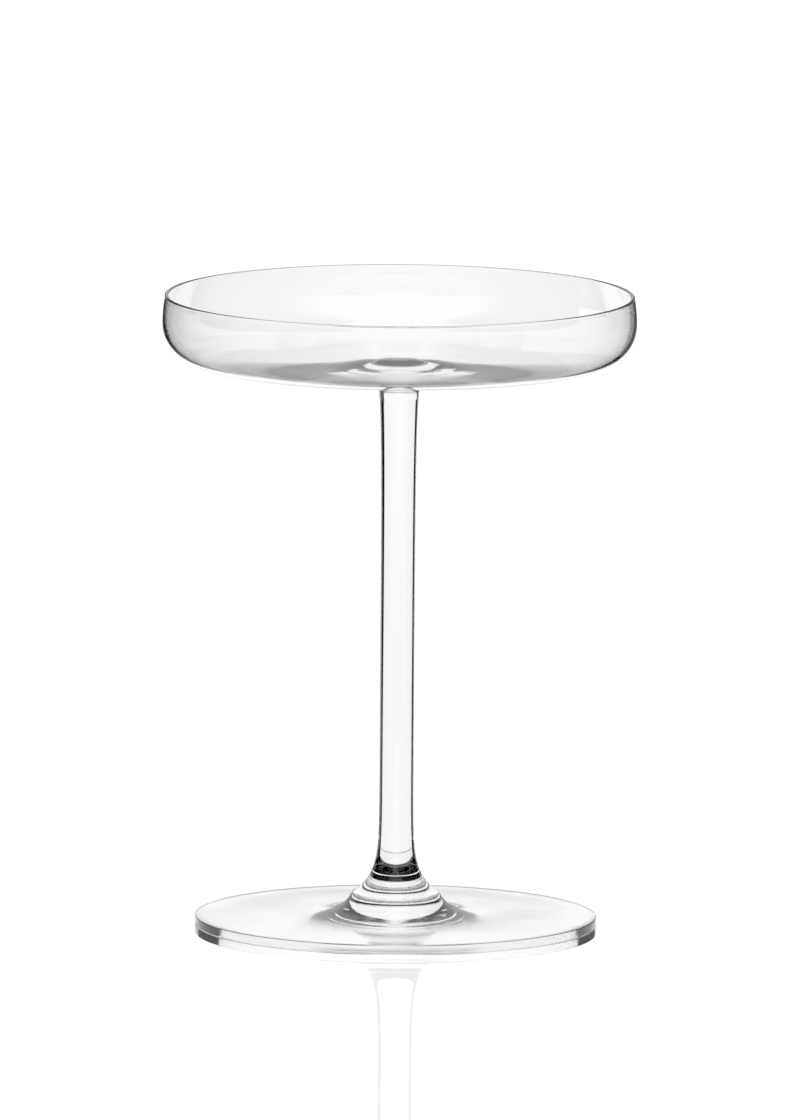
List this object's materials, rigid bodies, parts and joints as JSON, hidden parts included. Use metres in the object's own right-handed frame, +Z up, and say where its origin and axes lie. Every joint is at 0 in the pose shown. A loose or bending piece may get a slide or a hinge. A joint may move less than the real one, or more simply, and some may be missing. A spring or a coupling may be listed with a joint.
{
  "type": "footed dessert glass",
  "caption": "Shallow round dessert bowl of clear glass on a slim straight stem that flares into a flat round foot.",
  "frame": {"origin": "on the table, under the middle of the foot", "axes": "+Z up along the stem's axis; X and Y across the foot"},
  "size_m": [0.12, 0.12, 0.1605],
  "materials": {
    "bowl_glass": "blown clear glass, fire-polished",
    "stem_glass": "drawn clear glass, fire-polished",
    "foot_glass": "spun clear glass, fire-polished"
  },
  "bodies": {
    "root": {"bowl": "bowl_glass", "stem": "stem_glass", "foot": "foot_glass"}
  },
  "joints": []
}
